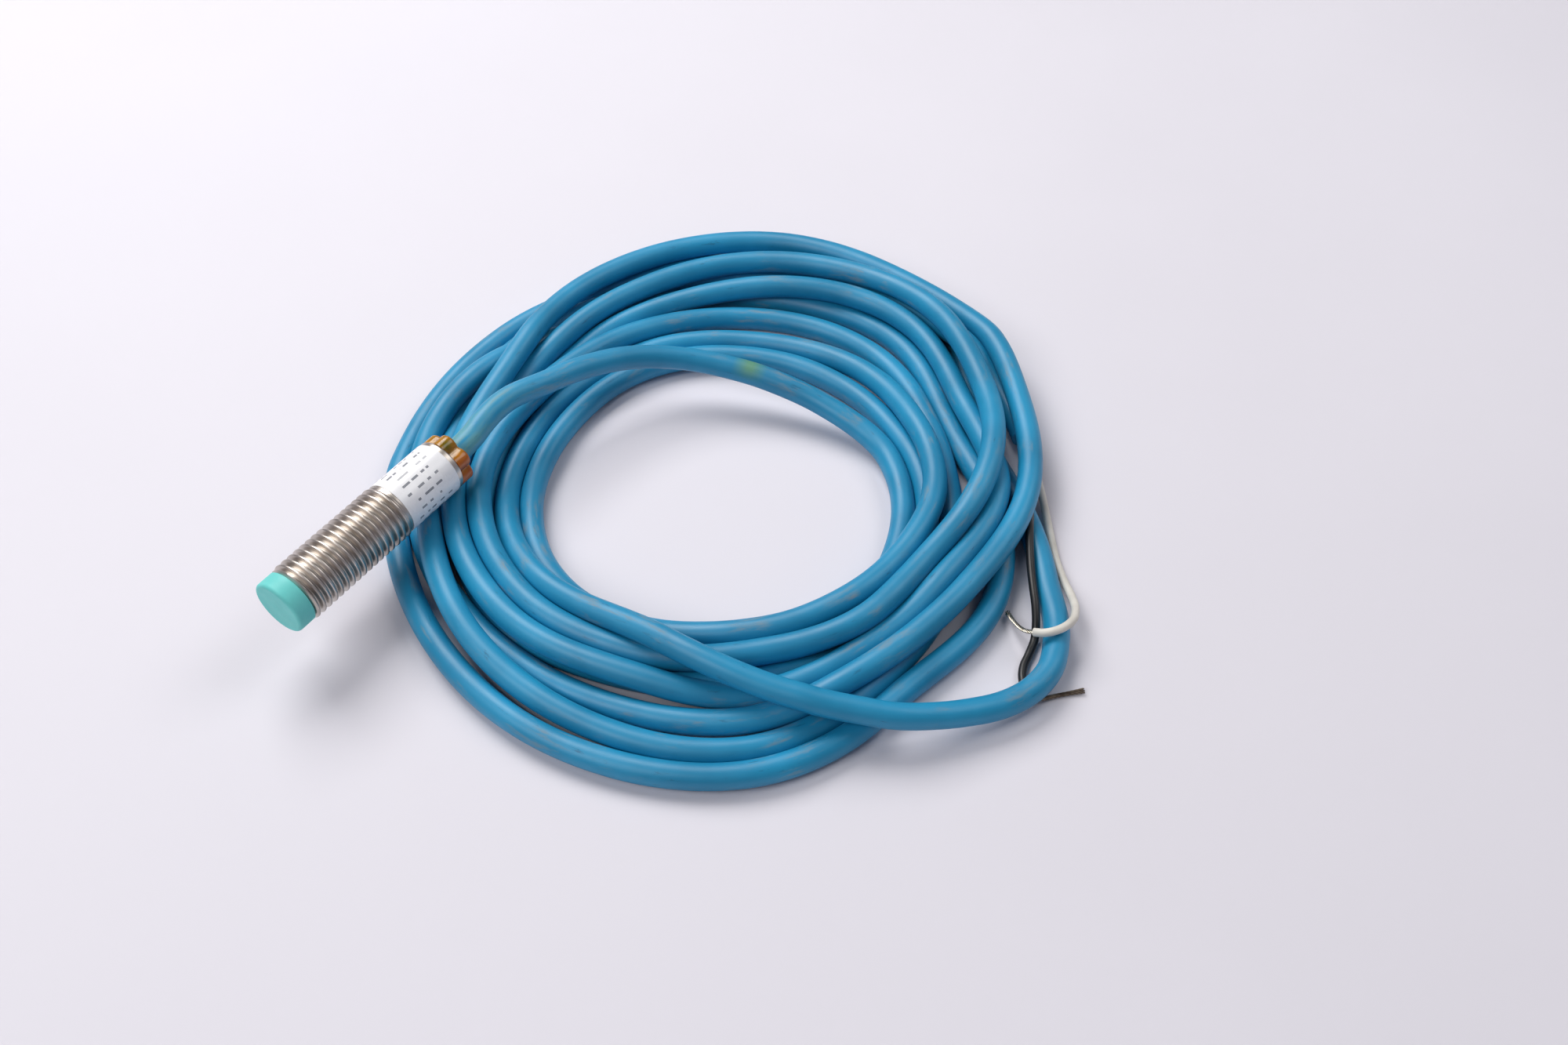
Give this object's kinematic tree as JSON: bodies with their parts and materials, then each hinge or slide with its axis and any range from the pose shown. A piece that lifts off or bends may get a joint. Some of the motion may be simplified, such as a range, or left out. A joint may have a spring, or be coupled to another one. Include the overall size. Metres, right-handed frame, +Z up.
{
  "type": "proximity sensor",
  "caption": "Threaded cylindrical inductive proximity sensor with a moulded sensing cap, wrapped label and a fixed two-core cable lying in a loose coil.",
  "frame": {"origin": "centre of the sensing face, on the barrel's axis", "axes": "+X out of the sensing face along the barrel's axis, +Z up from the surface that the coiled cable lies on"},
  "size_m": [0.1048, 0.1065, 0.015],
  "materials": {
    "cap_plastic": "moulded turquoise PBT, fine matt grain",
    "adhesive": "cured adhesive pad",
    "ferrite": "sintered dark grey ferrite",
    "former_plastic": "natural nylon",
    "copper_wire": "enamelled copper wire",
    "holder_plastic": "black moulded plastic",
    "board_laminate": "green solder resist on glass epoxy",
    "chip_epoxy": "black moulded epoxy",
    "capacitor_ceramic": "tan ceramic",
    "resistor_glaze": "dark glaze",
    "solder": "bright tin solder",
    "sleeve_film": "amber film sleeve",
    "barrel_metal": "turned stainless steel, satin with bright crests",
    "label_paper": "laminated white film label",
    "potting": "cast epoxy",
    "clamp_metal": "crimped steel ring",
    "plug_resin": "amber translucent resin",
    "jacket_pvc": "matt blue PVC with scuffs",
    "lead_white": "cream white PVC insulation",
    "lead_black": "black PVC insulation",
    "strand_metal": "tinned copper strands",
    "strand_metal_dark": "tarnished tinned copper strands"
  },
  "bodies": {
    "root": {"sensing_cap": "cap_plastic", "core_pad": "adhesive", "ferrite_core": "ferrite", "coil_former": "former_plastic", "coil_winding": "copper_wire", "core_holder": "holder_plastic", "coil_wires": "copper_wire", "circuit_board": "board_laminate", "oscillator_chip": "chip_epoxy", "output_transistor": "chip_epoxy", "ceramic_capacitors": "capacitor_ceramic", "chip_resistors": "resistor_glaze", "solder_joints": "solder", "insulating_sleeve": "sleeve_film", "threaded_barrel": "barrel_metal", "label_wrap": "label_paper", "potting_resin": "potting", "cable_clamp": "clamp_metal", "end_plug": "plug_resin", "jacket_end": "jacket_pvc", "inner_white_lead": "lead_white", "inner_black_lead": "lead_black", "cable_first_run": "jacket_pvc", "cable_coil": "jacket_pvc", "cable_front_loop": "jacket_pvc", "white_lead": "lead_white", "black_lead": "lead_black", "white_lead_strands": "strand_metal", "black_lead_strands": "strand_metal_dark"}
  },
  "joints": []
}
